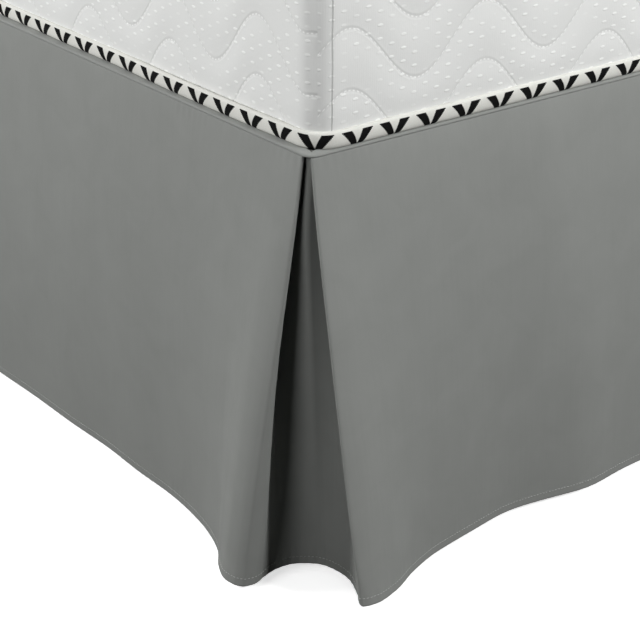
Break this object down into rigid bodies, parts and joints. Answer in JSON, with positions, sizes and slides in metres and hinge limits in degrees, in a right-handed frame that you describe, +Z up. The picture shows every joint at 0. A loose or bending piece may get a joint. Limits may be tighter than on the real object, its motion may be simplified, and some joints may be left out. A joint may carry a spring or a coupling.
{
  "type": "bed skirt on a bed base with a mattress",
  "caption": "Tailored bed skirt: flat hemmed drops with inverted corner pleats, hung from a platform sheet over a bed base on legs, with a mattress on top. Open at the head end.",
  "frame": {"origin": "on the floor, below the centre of the whole object's box", "axes": "+Z up, +Y towards the bed's open head end, +X towards the bed's right side seen from the foot"},
  "size_m": [1.6718, 2.0966, 0.6633],
  "materials": {
    "skirt_cloth": "brushed grey microfibre, matt",
    "base_cloth": "plain woven cream cover",
    "leg": "black, moulded, satin",
    "mattress_cloth": "white quilted knit",
    "mattress_tape": "off-white woven tape with a dark chevron"
  },
  "bodies": {
    "root": {"platform": "skirt_cloth", "foot_drop": "skirt_cloth", "side_drop_right": "skirt_cloth", "side_drop_left": "skirt_cloth", "bed_base": "base_cloth", "leg_left_foot": "leg", "leg_left_middle": "leg", "leg_left_head": "leg", "leg_right_foot": "leg", "leg_right_middle": "leg", "leg_right_head": "leg", "mattress": "mattress_cloth", "tape_bottom": "mattress_tape", "tape_top": "mattress_tape"}
  },
  "joints": []
}
